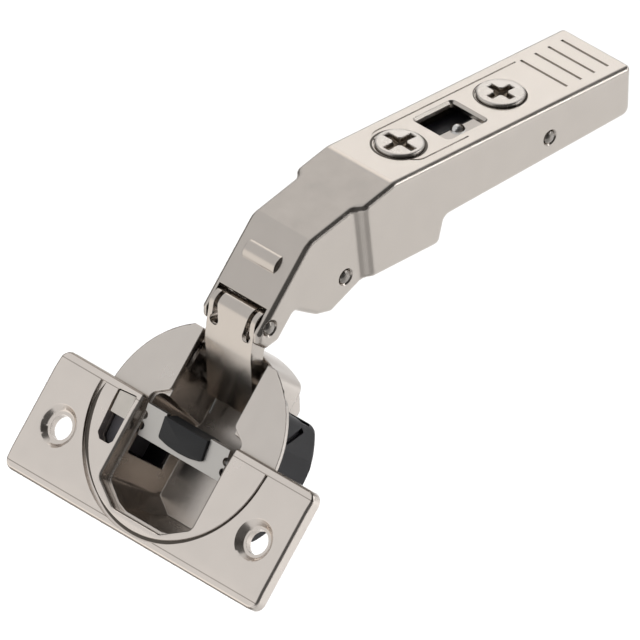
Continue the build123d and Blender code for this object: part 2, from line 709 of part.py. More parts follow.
# Clip rail and what adjusts it
def make_clip_rail():
    def side_block(u0, u1, h0, h1):
        mid_u, mid_h = (u0 + u1) / 2, (h0 + h1) / 2
        return arm_plane * (Pos(mid_u, mid_h) * Rectangle(u1 - u0, h0 - h1))

    outside = side_block(rail_start, rail_end, -rail_top, -rail_depth)
    rail = extrude(outside, amount=rail_half_width, both=True)
    hollow = side_block(rail_start - 1, rail_end + 1, -rail_top - arm_sheet, -rail_depth - 1)
    rail -= extrude(hollow, amount=rail_half_width - arm_sheet, both=True)
    rail = fillet(rail.edges().filter_by(lambda e: outer_long_edge(e)), 0.8)
    # Hook mouth at the front and catch notch at the rear, for the mounting plate
    front_notch = (rail_start + 1.4, rail_start + 4.4, 3.4)
    rear_notch = (rail_end - 4.5, rail_end - 1.5, 1.8)
    for u0, u1, deep in (front_notch, rear_notch):
        notch = side_block(u0, u1, -rail_depth + deep, -rail_depth - 1)
        rail -= extrude(notch, amount=10, both=True)
    slot = SlotOverall(2 * (sleeve_r + 0.06 + rail_travel), 2 * (sleeve_r + 0.06))
    rail -= extrude(arm_plane * Pos(axle_u, -axle_depth) * slot, amount=10, both=True)
    # Long hole for the side screw, so that the rail can still be shifted in depth
    long_hole = Rot(0, 0, 90) * SlotOverall(2 * (screw_neck_r + rail_travel + 0.1), 2 * screw_neck_r)
    rail -= extrude(top_plane(side_screw_u, 0) * long_hole, amount=-7)
    # Cross slot for the depth screw's peg
    peg_width = 2 * (cam_peg_r + cam_play)
    peg = Pos(cam_offset - 0.5, 0) * SlotOverall(peg_width + cross_slot_extra, peg_width)
    rail -= extrude(top_plane(depth_screw_u, 0) * peg, amount=-7)
    # The rail's window is longer, so that a driver still reaches through when the rail is shifted
    window = Rectangle(2 * rail_window_half, rail_window_end - rail_window_start)
    rail -= extrude(top_plane((rail_window_start + rail_window_end) / 2, 0) * window, amount=-5)
    rail -= rod_on_arm(latch_pivot_u, -latch_pivot_depth, cup_pin_r + fixed_gap, 10)
    return rail


def outer_long_edge(edge):
    ends = [edge @ 0, edge @ 1]
    height = [(p.Y - main_bend[0]) * -main_dir[1] + (p.Z - main_bend[1]) * main_dir[0] for p in ends]
    wide = all(abs(abs(p.X) - rail_half_width) < 0.01 for p in ends)
    return wide and all(abs(h + rail_top) < 0.01 for h in height) and edge.length > 20


def rod_on_arm(u, h, r, half):
    y, z = on_arm(u, h)
    return rod_x(y, z, r, -half, half)


def make_guide_sleeve():
    half = rear_half_width - arm_sheet - 0.1
    sleeve = rod_on_arm(axle_u, -axle_depth, sleeve_r, half)
    return sleeve - rod_on_arm(axle_u, -axle_depth, axle_r + pin_gap, half + 1)


def make_depth_screw():
    screw = screw_head(depth_screw_u)
    screw += bar_on_arm(depth_screw_u, 0.0, -1.3, screw_neck_r)
    screw += bar_on_arm(depth_screw_u, -arm_sheet - 0.05, -rail_top + 0.5, 3.4)
    return screw + bar_on_arm(depth_screw_u, -rail_top + 0.6, -rail_top - 1.1, cam_peg_r, cam_offset)


def make_side_screw():
    screw = screw_head(side_screw_u)
    screw += bar_on_arm(side_screw_u, 0.0, -1.3, screw_neck_r)
    screw += bar_on_arm(side_screw_u, -arm_sheet - 0.05, -rail_top + 1.1, 2.8)
    return screw + bar_on_arm(side_screw_u, -1.5, -8.2, screw_neck_r - 0.35)


def make_latch_lever():
    pivot = (latch_pivot_u, -latch_pivot_depth)
    heel = (latch_pivot_u + 7.6, -latch_pivot_depth - 1.0)
    hook = (latch_pivot_u - 1.4, -latch_pivot_depth - 4.0)
    tip = (heel[0] + 1.4, heel[1] - 1.4)
    arm_part = capsule(*pivot, latch_hub_r, *heel, 1.0)
    hook_part = capsule(*pivot, latch_hub_r, *hook, 1.0)
    thumb = capsule(*heel, 1.0, *tip, 0.8)
    outline = arm_part + hook_part + thumb
    lever = extrude(arm_plane * outline, amount=rail_half_width - arm_sheet - 0.3, both=True)
    lever -= rod_on_arm(*pivot, cup_pin_r + pin_gap, 10)
    # Pressed-out middle of the lever leaves two cheeks at the hook
    gap = capsule(hook[0] + 0.4, hook[1] - 1.4, 1.9, hook[0] - 0.6, hook[1] + 1.0, 0.9)
    return lever - extrude(arm_plane * gap, amount=3.0, both=True)


def make_latch_spring():
    top = -rail_top - arm_sheet
    pitch = 0.75
    height = 1.15
    path = Helix(pitch=pitch, height=height, radius=1.5, center=(0, 0, 0), direction=(0, 0, 1))
    wire = sweep(Plane(path @ 0, z_dir=path % 0) * Circle(0.22), path=path)
    return top_plane(latch_pivot_u + 5.0, top - height - 0.23) * wire


write(make_flange_plate(), "flange_plate")
write(make_hinge_cup(), "hinge_cup")
write(make_switch_tab(), "switch_tab")
for name, side in (("left", -1), ("right", 1)):
    write(make_damper_housing(side), f"damper_housing_{name}")
    write(make_damper_cylinder(side), f"damper_cylinder_{name}")
    write(make_piston_rod(side), f"piston_rod_{name}")
write(make_actuator_frame(), "actuator_frame")
write(make_actuator_pad(), "actuator_pad")
cup_pin_half = slot_half_width + cup_sheet + 0.1
write(pin_across(outer_pivot, cup_pin_r, cup_pin_half), "outer_link_pin")
write(pin_across(inner_pivot, cup_pin_r, cup_pin_half), "inner_link_pin")
write(Compound(children=make_closing_spring()), "closing_spring")
write(make_outer_link(), "outer_link")
write(make_inner_link(), "inner_link")
write(make_arm(), "arm")
write(pin_across(front_pin, arm_pin_r, front_half_width + pin_end), "front_arm_pin")
write(pin_across(second_pin, arm_pin_r, front_half_width + pin_end), "second_arm_pin")
write(pin_across(on_arm(axle_u, -axle_depth), axle_r, rear_half_width + pin_end), "rear_axle_pin")
write(make_guide_sleeve(), "guide_sleeve")
write(make_clip_rail(), "clip_rail")
write(make_depth_screw(), "depth_screw")
write(make_side_screw(), "side_screw")
write(make_latch_lever(), "latch_lever")
write(pin_across(on_arm(latch_pivot_u, -latch_pivot_depth), cup_pin_r, rail_half_width), "latch_pin")
write(make_latch_spring(), "latch_spring")
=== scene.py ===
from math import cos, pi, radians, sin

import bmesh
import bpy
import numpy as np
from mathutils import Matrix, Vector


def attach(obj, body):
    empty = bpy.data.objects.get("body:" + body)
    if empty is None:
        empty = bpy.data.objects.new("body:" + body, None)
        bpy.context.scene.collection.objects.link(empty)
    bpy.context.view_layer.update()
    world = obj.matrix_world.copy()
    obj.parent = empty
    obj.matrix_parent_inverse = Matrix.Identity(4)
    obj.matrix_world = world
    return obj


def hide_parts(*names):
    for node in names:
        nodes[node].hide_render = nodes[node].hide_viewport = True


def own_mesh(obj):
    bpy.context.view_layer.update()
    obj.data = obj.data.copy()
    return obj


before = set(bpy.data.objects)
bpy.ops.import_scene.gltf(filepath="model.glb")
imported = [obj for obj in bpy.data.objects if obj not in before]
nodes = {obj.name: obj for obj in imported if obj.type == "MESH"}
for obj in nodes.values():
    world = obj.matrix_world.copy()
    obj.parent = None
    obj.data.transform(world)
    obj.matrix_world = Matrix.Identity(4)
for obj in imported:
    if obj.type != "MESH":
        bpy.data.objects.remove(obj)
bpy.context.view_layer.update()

# %% [markdown]
# A concealed cup hinge from a cabinet door, seen open, with its angled arm.
# The metal parts are cut from steel sheet, folded and plated with satin nickel. The damper
# housings are dark moulded plastic.
# The solid model is already loaded, and each piece has its own name. This lesson gives the
# pieces their finishes, adds the small forms that a solid model leaves plain, and lights them.

MM = 0.001

# %% [markdown]
# The photograph was taken from far away with a long lens, so parallel edges stay parallel.
# A camera 3.6 metres away with a very long lens gives nearly the same flat perspective. Its
# three axes say where right, up and back are in the picture.

# %% Camera
CAMERA_RIGHT = Vector((0.70633, 0.47577, -0.52416))
CAMERA_UP = Vector((-0.40679, 0.87879, 0.24950))
CAMERA_BACK = Vector((0.57933, 0.03699, 0.81425))
CAMERA_DISTANCE = 3.6
PICTURE_CENTRE = Vector((7.13, 26.16, -6.26)) * MM
PICTURE_WIDTH = 103.23 * MM
SENSOR_WIDTH = 36.0
FARTHEST_SEEN = 50.0


def new_object(name, data):
    """Object with this data, linked to the scene."""
    made = bpy.data.objects.new(name, data)
    bpy.context.scene.collection.objects.link(made)
    return made


def make_camera():
    data = bpy.data.cameras.new("camera")
    data.sensor_width = SENSOR_WIDTH
    data.lens = data.sensor_width * CAMERA_DISTANCE / PICTURE_WIDTH
    data.clip_end = FARTHEST_SEEN
    camera = new_object("camera", data)
    place = PICTURE_CENTRE + CAMERA_BACK * CAMERA_DISTANCE
    axes = Matrix((CAMERA_RIGHT, CAMERA_UP, CAMERA_BACK)).transposed()
    camera.matrix_world = Matrix.Translation(place) @ axes.to_4x4()
    bpy.context.scene.camera = camera
    return camera


camera = make_camera()
print("lens in mm:", round(camera.data.lens))

# %% [markdown]
# The room and every finish are small trees of nodes. A few helpers add the nodes that all these
# trees need: arithmetic, a mix of two colours and a new material.

# %% Helpers for shader nodes
def math_node(tree, operation, first, second=None, clamp=False):
    """Result of one sum, whose two values are numbers or links."""
    node = tree.nodes.new("ShaderNodeMath")
    node.operation = operation
    node.use_clamp = clamp
    for socket, value in zip(node.inputs, (first, second)):
        if value is None:
            continue
        if isinstance(value, (int, float)):
            socket.default_value = value
        else:
            tree.links.new(value, socket)
    return node.outputs[0]


def mix_colour(tree, factor, first, second):
    """The first colour where the factor is 0 and the second where it is 1."""
    node = tree.nodes.new("ShaderNodeMix")
    node.data_type = "RGBA"
    sockets = {s.identifier: s for s in node.inputs}
    for key, value in (("Factor_Float", factor), ("A_Color", first), ("B_Color", second)):
        if isinstance(value, (tuple, list)):
            sockets[key].default_value = (*value, 1)
        else:
            tree.links.new(value, sockets[key])
    return [s for s in node.outputs if s.identifier == "Result_Color"][0]


def new_material(name):
    """Material with its tree of nodes and the shader in it."""
    material = bpy.data.materials.new(name)
    material.use_nodes = True
    return material, material.node_tree, material.node_tree.nodes["Principled BSDF"]


# %% [markdown]
# Plated metal shows little of its own colour: it shows the room. The room here is white all
# round, and each side below covers a round patch of it. The first four are dark, as a studio is
# behind its camera and beside its lamps, and they give each rounded fold of the sheet its dark
# line. The last two are brighter than the walls, for the faces that mirror a window.

# %% Room
FLOOR_DEPTH = 0.6
ROOM_LIGHT = 0.74
ROOM_TINT = (1.0, 0.97, 0.93)
# Sides of the room: the way each lies from the hinge, the angles where it is full and where it
# has faded out, its brightness beside the white walls, and how much of the wall it covers
ROOM_SIDES = (
    ((0.79, 0.05, 0.62), 42, 54, 0.06, 0.93),
    ((0.45, 0.80, 0.35), 28, 38, 0.06, 0.93),
    ((-0.05, 1.00, 0.02), 8, 14, 0.06, 0.80),
    ((-1.00, 0.00, 0.05), 14, 26, 0.06, 0.80),
    ((-0.58, -0.66, 0.45), 14, 34, 1.55, 0.90),
    ((-0.58, 0.81, 0.00), 7, 13, 2.10, 0.95),
)


def room_lobe(tree, aim, inner, outer):
    """1 within the angle inner of the direction aim, falling smoothly to 0 at the angle outer."""
    place = tree.nodes.new("ShaderNodeTexCoord")
    toward = tree.nodes.new("ShaderNodeVectorMath")
    toward.operation = "DOT_PRODUCT"
    toward.inputs[1].default_value = Vector(aim).normalized()
    tree.links.new(place.outputs["Generated"], toward.inputs[0])
    fall = tree.nodes.new("ShaderNodeMapRange")
    fall.interpolation_type = "SMOOTHSTEP"
    fall.inputs["From Min"].default_value = cos(radians(outer))
    fall.inputs["From Max"].default_value = cos(radians(inner))
    tree.links.new(toward.outputs["Value"], fall.inputs["Value"])
    return fall.outputs["Result"]


def make_room():
    world = bpy.data.worlds.new("studio")
    world.use_nodes = True
    tree = world.node_tree
    background = tree.nodes["Background"]
    background.inputs["Strength"].default_value = ROOM_LIGHT
    shown = (1.0, 1.0, 1.0)
    for aim, inner, outer, brightness, amount in ROOM_SIDES:
        share = math_node(tree, "MULTIPLY", room_lobe(tree, aim, inner, outer), amount)
        shown = mix_colour(tree, share, shown, [brightness * tone for tone in ROOM_TINT])
    tree.links.new(shown, background.inputs["Color"])
    bpy.context.scene.world = world


make_room()
print("room light:", ROOM_LIGHT, "sides:", len(ROOM_SIDES))

# %% [markdown]
# The hinge gets all its light from the room. The four lamps are there for the pale floor alone,
# which lies deep below it: each one hangs beside the hinge and brightens a patch of the floor.

# %% Lamps and floor
# Each spot: where it hangs, the patch of floor it is aimed at, its cone in degrees and its power
FLOOR_SPOTS = {
    "back_spot": ((-1.6, -0.9, 0.1), (-0.43, -0.03, -FLOOR_DEPTH), 38, 150.0),
    "side_spot": ((1.7, 0.9, 0.1), (0.43, -0.03, -FLOOR_DEPTH), 38, 100.0),
    "far_left_spot": ((-1.6, 2.3, 1.2), (-1.6, 2.3, -FLOOR_DEPTH), 90, 190.0),
    "far_right_spot": ((1.7, 2.4, 1.2), (1.7, 2.4, -FLOOR_DEPTH), 90, 420.0),
}
SPOT_BLEND, SPOT_SIZE = 0.7, 0.15
FLOOR_HALF, FLOOR_WHITE, FLOOR_ROUGH = 4.0, 0.95, 0.9


def make_floor_spot(name, place, aim, cone, power):
    """Soft spot that brightens a patch of floor, narrow enough to miss the hinge itself."""
    data = bpy.data.lights.new(name, "SPOT")
    data.spot_size = radians(cone)
    data.spot_blend = SPOT_BLEND
    data.shadow_soft_size = SPOT_SIZE
    data.energy = power
    lamp = new_object(name, data)
    lamp.location = Vector(place)
    lamp.rotation_euler = (Vector(aim) - Vector(place)).to_track_quat("-Z", "Y").to_euler()
    lamp.visible_camera = False


def make_floor():
    signs = [(-1, -1), (1, -1), (1, 1), (-1, 1)]
    corners = [(x * FLOOR_HALF, y * FLOOR_HALF, -FLOOR_DEPTH) for x, y in signs]
    mesh = bpy.data.meshes.new("floor")
    mesh.from_pydata(corners, [], [(0, 1, 2, 3)])
    finish, tree, shader = new_material("pale_floor")
    shader.inputs["Base Color"].default_value = (FLOOR_WHITE, FLOOR_WHITE, FLOOR_WHITE, 1)
    shader.inputs["Roughness"].default_value = FLOOR_ROUGH
    mesh.materials.append(finish)
    new_object("floor", mesh)


for name, values in FLOOR_SPOTS.items():
    make_floor_spot(name, *values)
make_floor()
view = bpy.context.scene.view_settings
view.view_transform = "Standard"
view.look = "None"

# %% [markdown]
# Several finishes share the same effects, so each effect is built once as a node group with
# named sockets. The first one is grain: the plating is not a mirror, it has fine bumps and
# faint clouds. Noise in two sizes gives both.

# %% Helpers for node groups
FLOAT = "NodeSocketFloat"


def new_group(name, inputs, outputs):
    """Node group with its own input and output node; all its sockets are numbers."""
    group = bpy.data.node_groups.new(name, "ShaderNodeTree")
    for label, value in inputs:
        socket = group.interface.new_socket(name=label, in_out="INPUT", socket_type=FLOAT)
        socket.default_value = value
    for label in outputs:
        group.interface.new_socket(name=label, in_out="OUTPUT", socket_type=FLOAT)
    return group, group.nodes.new("NodeGroupInput"), group.nodes.new("NodeGroupOutput")


def place_group(tree, group):
    node = tree.nodes.new("ShaderNodeGroup")
    node.node_tree = group
    return node


# %% Grain group
NOISE_DETAIL = (("Fine", 2.0), ("Cloud", 4.0))


def make_grain_group():
    inputs = [("Fine Scale", 9000.0), ("Cloud Scale", 260.0)]
    group, given, result = new_group("grain", inputs, ["Fine", "Cloud"])
    place = group.nodes.new("ShaderNodeTexCoord")
    for label, detail in NOISE_DETAIL:
        noise = group.nodes.new("ShaderNodeTexNoise")
        noise.inputs["Detail"].default_value = detail
        group.links.new(place.outputs["Object"], noise.inputs["Vector"])
        group.links.new(given.outputs[label + " Scale"], noise.inputs["Scale"])
        group.links.new(noise.outputs["Fac"], result.inputs[label])
    return group


grain_group = make_grain_group()
print("group:", grain_group.name)

# %% [markdown]
# Where sheet metal is cut or folded, the edge is rubbed bright. A bevelled normal differs from
# the true one only near an edge, so their difference is a mask of the edges.
# In corners and holes the metal looks darker, because less light gets in and because dirt
# and oil stay there. Ambient occlusion gives that mask.

# %% Edge and hollow groups
BEVEL_SAMPLES, HOLLOW_SAMPLES = 6, 8
EDGE_GAIN = 4.0
HOLLOW_POWER = 1.4


def make_edge_group():
    """1 minus the cosine between the bevelled and the true normal, made stronger."""
    group, given, result = new_group("edge_wear", [("Width", 0.0002)], ["Mask"])
    bevel = group.nodes.new("ShaderNodeBevel")
    bevel.samples = BEVEL_SAMPLES
    group.links.new(given.outputs["Width"], bevel.inputs["Radius"])
    surface = group.nodes.new("ShaderNodeNewGeometry")
    dot = group.nodes.new("ShaderNodeVectorMath")
    dot.operation = "DOT_PRODUCT"
    group.links.new(bevel.outputs["Normal"], dot.inputs[0])
    group.links.new(surface.outputs["Normal"], dot.inputs[1])
    away = math_node(group, "SUBTRACT", 1.0, dot.outputs["Value"])
    mask = math_node(group, "MULTIPLY", away, EDGE_GAIN, clamp=True)
    group.links.new(mask, result.inputs["Mask"])
    return group


def make_hollow_group():
    """The share of light that is kept out, raised to a power so that open places stay clean."""
    group, given, result = new_group("hollow", [("Reach", 0.006)], ["Mask"])
    shade = group.nodes.new("ShaderNodeAmbientOcclusion")
    shade.samples = HOLLOW_SAMPLES
    group.links.new(given.outputs["Reach"], shade.inputs["Distance"])
    dark = math_node(group, "SUBTRACT", 1.0, shade.outputs["AO"])
    mask = math_node(group, "POWER", dark, HOLLOW_POWER, clamp=True)
    group.links.new(mask, result.inputs["Mask"])
    return group


edge_group = make_edge_group()
hollow_group = make_hollow_group()
print("groups:", edge_group.name, hollow_group.name)

# %% [markdown]
# All the plated parts use one recipe with their own values: a warm grey metal, brighter at its
# edges and browner in its hollows, with roughness that follows the clouds and a fine bump.
# The rounded edge normal catches light along each cut edge, as on the real sheet.

# %% Metal recipe
NOISE_LOW, NOISE_HIGH = 0.25, 0.75
PALE_CLOUD, DEEP_CLOUD = 1.05, 0.94
HOLLOW_TINT = (0.42, 0.37, 0.32)
WORN_EDGE = 1.18
METAL_CLOUD_ROUGH = 0.035
METAL_BUMP = 0.25


def map_range(tree, value, low, high):
    """From low to high while the noise goes through the range that it seldom leaves."""
    node = tree.nodes.new("ShaderNodeMapRange")
    node.inputs["From Min"].default_value = NOISE_LOW
    node.inputs["From Max"].default_value = NOISE_HIGH
    node.inputs["To Min"].default_value = low
    node.inputs["To Max"].default_value = high
    tree.links.new(value, node.inputs["Value"])
    return node.outputs["Result"]


def add_bump(tree, shader, strength, distance, height):
    """Bump node between a height and the shader's normal."""
    bump = tree.nodes.new("ShaderNodeBump")
    bump.inputs["Strength"].default_value = strength
    bump.inputs["Distance"].default_value = distance
    tree.links.new(height, bump.inputs["Height"])
    tree.links.new(bump.outputs["Normal"], shader.inputs["Normal"])
    return bump


def make_metal(name, colour, rough, wear=0.5, hollow=0.6, grain=0.00002, reach=0.006,
               edge=0.00012, painted_shade=None):
    """Plated metal; with a painted shade colour, it is darkened towards it where the painted_shade
    attribute says so.
    """
    material, tree, shader = new_material(name)
    shader.inputs["Metallic"].default_value = 1.0
    grain_node = place_group(tree, grain_group)
    edge_node = place_group(tree, edge_group)
    edge_node.inputs["Width"].default_value = 2 * edge
    hollow_node = place_group(tree, hollow_group)
    hollow_node.inputs["Reach"].default_value = reach
    pale = tuple(min(1.0, c * PALE_CLOUD) for c in colour)
    deep = tuple(c * DEEP_CLOUD for c in colour)
    shown = mix_colour(tree, grain_node.outputs["Cloud"], deep, pale)
    brown = tuple(c * tint for c, tint in zip(colour, HOLLOW_TINT))
    dark_mask = math_node(tree, "MULTIPLY", hollow_node.outputs["Mask"], hollow, clamp=True)
    shown = mix_colour(tree, dark_mask, shown, brown)
    bright = tuple(min(1.0, c * WORN_EDGE) for c in colour)
    edge_mask = math_node(tree, "MULTIPLY", edge_node.outputs["Mask"], wear, clamp=True)
    shown = mix_colour(tree, edge_mask, shown, bright)
    # Painted shade: the colour turns towards the painted shade colour where the attribute says so.
    if painted_shade:
        depth = tree.nodes.new("ShaderNodeAttribute")
        depth.attribute_name = "painted_shade"
        shown = mix_colour(tree, depth.outputs["Fac"], shown, painted_shade)
    tree.links.new(shown, shader.inputs["Base Color"])
    low, high = rough - METAL_CLOUD_ROUGH, rough + METAL_CLOUD_ROUGH
    roughness = map_range(tree, grain_node.outputs["Cloud"], low, high)
    tree.links.new(roughness, shader.inputs["Roughness"])
    bump = add_bump(tree, shader, METAL_BUMP, grain, grain_node.outputs["Fine"])
    bevel = tree.nodes.new("ShaderNodeBevel")
    bevel.samples = BEVEL_SAMPLES
    bevel.inputs["Radius"].default_value = edge
    tree.links.new(bevel.outputs["Normal"], bump.inputs["Normal"])
    return material


# %% [markdown]
# Moulded plastic needs another recipe: no metal, a soft sheen, a fine pebble texture, and
# edges a little paler where the moulding is thin or rubbed.

# %% Plastic recipe
PLASTIC_SHEEN = 0.35
PEBBLE_SCALE = 5200.0
PALE_PLASTIC, DEEP_PLASTIC = 1.15, 0.85
RUBBED_GAIN, RUBBED_LIFT = 1.9, 0.02
SMOOTHER, ROUGHER = 0.04, 0.05
PLASTIC_BUMP = 0.35


def make_plastic(name, colour, rough, wear=0.35, pebble=0.00004):
    material, tree, shader = new_material(name)
    shader.inputs["Specular IOR Level"].default_value = PLASTIC_SHEEN
    grain_node = place_group(tree, grain_group)
    grain_node.inputs["Fine Scale"].default_value = PEBBLE_SCALE
    edge_node = place_group(tree, edge_group)
    deep = tuple(c * DEEP_PLASTIC for c in colour)
    pale = tuple(c * PALE_PLASTIC for c in colour)
    clouded = mix_colour(tree, grain_node.outputs["Cloud"], deep, pale)
    rubbed = tuple(min(1.0, c * RUBBED_GAIN + RUBBED_LIFT) for c in colour)
    edge_mask = math_node(tree, "MULTIPLY", edge_node.outputs["Mask"], wear, clamp=True)
    tree.links.new(mix_colour(tree, edge_mask, clouded, rubbed), shader.inputs["Base Color"])
    low, high = rough - SMOOTHER, rough + ROUGHER
    roughness = map_range(tree, grain_node.outputs["Cloud"], low, high)
    tree.links.new(roughness, shader.inputs["Roughness"])
    add_bump(tree, shader, PLASTIC_BUMP, pebble, grain_node.outputs["Fine"])
    return material


# %% [markdown]
# On the real hinge the flange plate is the palest nickel, the arm is darker and browner, and the
# pins are plain steel. Each finish below is a recipe with its own values. Where one is left out,
# the recipe's own value holds.

# %% Finishes of this hinge
ARM_NICKEL = (0.575, 0.530, 0.487)
PLATE_NICKEL = (0.80, 0.735, 0.68)
CUP_NICKEL = (0.69, 0.64, 0.595)
# A painted_shade colour is painted shade, laid where a piece's attribute says: in the screws'
# crosses, on the cup's nose and along the flange's folds.
METALS = {
    "arm_nickel": dict(colour=ARM_NICKEL, rough=0.22, hollow=0.45, grain=0.00001),
    "plate_nickel": dict(colour=PLATE_NICKEL, rough=0.25, wear=0.6, grain=0.000008,
                         painted_shade=(0.17, 0.14, 0.115)),
    "cup_nickel": dict(colour=CUP_NICKEL, rough=0.25, hollow=0.42, reach=0.010, edge=0.0003,
                       grain=0.00001, painted_shade=(0.22, 0.18, 0.15)),
    "link_nickel": dict(colour=ARM_NICKEL, rough=0.22, hollow=0.25, grain=0.00001),
    "bright_steel": dict(colour=(0.72, 0.71, 0.70), rough=0.20),
    # Darker than the bright steel of the same pins: painted shade for their domed ends.
    "shaded_pin_steel": dict(colour=(0.36, 0.335, 0.31), rough=0.26, hollow=0.7, reach=0.003),
    "screw_steel": dict(colour=(0.58, 0.545, 0.51), rough=0.27, wear=0.7, hollow=0.35,
                        reach=0.002, painted_shade=(0.22, 0.185, 0.15)),
    "zinc_grey": dict(colour=(0.50, 0.49, 0.475), rough=0.42, hollow=0.5, grain=0.00005),
    "spring_wire": dict(colour=(0.45, 0.44, 0.43), rough=0.25),
    # Near black, for painted shadow: the rings in the screw sinks and the strips in the groove and
    # under the arm's nose.
    "painted_shadow": dict(colour=(0.13, 0.115, 0.10), rough=0.45, wear=0.1, hollow=0.9),
}
PLASTICS = {
    "housing_plastic": dict(colour=(0.020, 0.019, 0.023), rough=0.42),
    "cylinder_plastic": dict(colour=(0.05, 0.05, 0.06), rough=0.38),
    "pad_plastic": dict(colour=(0.026, 0.027, 0.029), rough=0.50),
    # Lighter than the housing's black plastic: painted light for surfaces deep in the slot's
    # shade.
    "lit_slot_plastic": dict(colour=(0.17, 0.165, 0.185), rough=0.5),
    "cream_plastic": dict(colour=(0.96, 0.90, 0.82), rough=0.45, wear=0.2),
}
finishes = {name: make_metal(name, **values) for name, values in METALS.items()}
finishes.update({name: make_plastic(name, **values) for name, values in PLASTICS.items()})
print("finishes:", len(finishes))

# %% [markdown]
# Every solid gets its finish by its name, also a solid that a finer piece replaces later, so
# that none is left bare.

# %% Give each piece its finish
FINISH_OF = {
    "arm": "arm_nickel",
    "clip_rail": "arm_nickel",
    "flange_plate": "plate_nickel",
    "hinge_cup": "cup_nickel",
    "outer_link": "link_nickel",
    "inner_link": "link_nickel",
    "front_arm_pin": "bright_steel",
    "second_arm_pin": "bright_steel",
    "rear_axle_pin": "bright_steel",
    "outer_link_pin": "bright_steel",
    "inner_link_pin": "bright_steel",
    "guide_sleeve": "bright_steel",
    "latch_pin": "bright_steel",
    "piston_rod_left": "bright_steel",
    "piston_rod_right": "bright_steel",
    "side_screw": "screw_steel",
    "depth_screw": "screw_steel",
    "closing_spring": "spring_wire",
    "latch_spring": "spring_wire",
    "actuator_frame": "zinc_grey",
    "latch_lever": "zinc_grey",
    "actuator_pad": "pad_plastic",
    "damper_housing_left": "housing_plastic",
    "damper_housing_right": "housing_plastic",
    "damper_cylinder_left": "cylinder_plastic",
    "damper_cylinder_right": "cylinder_plastic",
    "switch_tab": "cream_plastic",
}


def give_finish(mesh, finish):
    mesh.materials.clear()
    mesh.materials.append(finishes[finish])


for name, finish in FINISH_OF.items():
    give_finish(nodes[name].data, finish)
print("without a finish:", sorted(set(nodes) - set(FINISH_OF)))

# %% [markdown]
# The screws and pins carry the small highlights that make metal look real. Their solids are
# plain on purpose, so this part of the lesson makes finer surfaces for them.
# Each one is a grid of points worked out with numpy: one direction of the grid runs round the
# piece, the other along its profile.
# The arm's main stretch lies at a slope, so a helper gives points by three numbers: sideways,
# along the stretch from its bend, and outward from its face.

# %% Frame of the arm's main stretch
MAIN_BEND = np.array([0.0, 51.283, -5.486])
SLOPE = radians(-51.4)
SIDEWAYS = np.array([1.0, 0.0, 0.0])
ALONG = np.array([0.0, cos(SLOPE), sin(SLOPE)])
OUTWARD = np.array([0.0, -sin(SLOPE), cos(SLOPE)])
MAIN_LENGTH = 54.6


def on_arm(x, u, h):
    """Point in mm: x to the side, u along the stretch from its bend, h out of its face."""
    return MAIN_BEND + x * SIDEWAYS + u * ALONG + h * OUTWARD


print("end of the arm's main stretch in mm:", np.round(on_arm(0, MAIN_LENGTH, 0), 1).tolist())

# %% [markdown]
# A grid becomes a mesh when each square of four neighbours is named as one face. Points that
# fall together, at the poles of a round piece, are merged, so that the surface is closed.

# %% Helpers that turn a grid of points into a piece
MERGE_DISTANCE = 2e-7


def grid_faces(rows, columns):
    """Quads between neighbouring rows and columns; the last column joins the first."""
    row, column = np.meshgrid(np.arange(rows - 1), np.arange(columns), indexing="ij")
    after = (column + 1) % columns
    corners = [row * columns + column, row * columns + after]
    corners += [(row + 1) * columns + after, (row + 1) * columns + column]
    return np.stack(corners, axis=-1).reshape(-1, 4)


def turned_points(profile, foot, axis, side, steps):
    """Profile of (radius, height) points turned round an axis through foot."""
    radius, height = np.asarray(profile, float).T
    turn = np.linspace(0, 2 * pi, steps, endpoint=False)
    ring = np.cos(turn)[:, None] * side + np.sin(turn)[:, None] * np.cross(axis, side)
    return foot + height[:, None, None] * axis + radius[:, None, None] * ring


def close_up(mesh):
    """Merge the points that fall together, and turn all faces outwards."""
    work = bmesh.new()
    work.from_mesh(mesh)
    bmesh.ops.remove_doubles(work, verts=work.verts, dist=MERGE_DISTANCE)
    bmesh.ops.recalc_face_normals(work, faces=work.faces)
    work.to_mesh(mesh)
    work.free()


def smooth_surface(mesh, angle):
    """Smooth shading, with edges that turn by more than the angle kept sharp."""
    mesh.shade_smooth()
    mesh.set_sharp_from_angle(angle=radians(angle))


def make_piece(name, grids, finish, body, angle=32):
    """Closed smooth mesh from one or more grids, at the origin, riding on a body."""
    joined = bmesh.new()
    for grid in grids:
        mesh = bpy.data.meshes.new(name)
        flat = grid.reshape(-1, 3) * MM
        mesh.from_pydata(flat.tolist(), [], grid_faces(*grid.shape[:2]).tolist())
        close_up(mesh)
        joined.from_mesh(mesh)
        bpy.data.meshes.remove(mesh)
    mesh = bpy.data.meshes.new(name)
    joined.to_mesh(mesh)
    joined.free()
    smooth_surface(mesh, angle)
    give_finish(mesh, finish)
    piece = new_object(name, mesh)
    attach(piece, body)
    return piece


# %% [markdown]
# Both adjusting screws have a broad flat head with a cross for the driver. The cross is where
# the eye goes first, so its walls slope, its middle is round and its floor rises outward. It is
# made as a height field: from every point of the head's top, a depth is taken away.

# %% Cross of the adjusting screws
HEAD_R, HEAD_TOP, HEAD_FOOT = 4.1, 0.65, -0.25
BAR_HALF, BAR_SLOPE, BAR_END_SLOPE = 0.68, 0.20, 0.35
MIDDLE_R, MIDDLE_SLOPE = 1.25, 0.3
CROSS_DEPTH, CROSS_RISE = 1.05, 0.13


def soft_step(distance, width):
    """0 outside, 1 inside, and a smooth cubic slope of the given width between them."""
    share = np.clip(distance / width, 0, 1)
    return share * share * (3 - 2 * share)


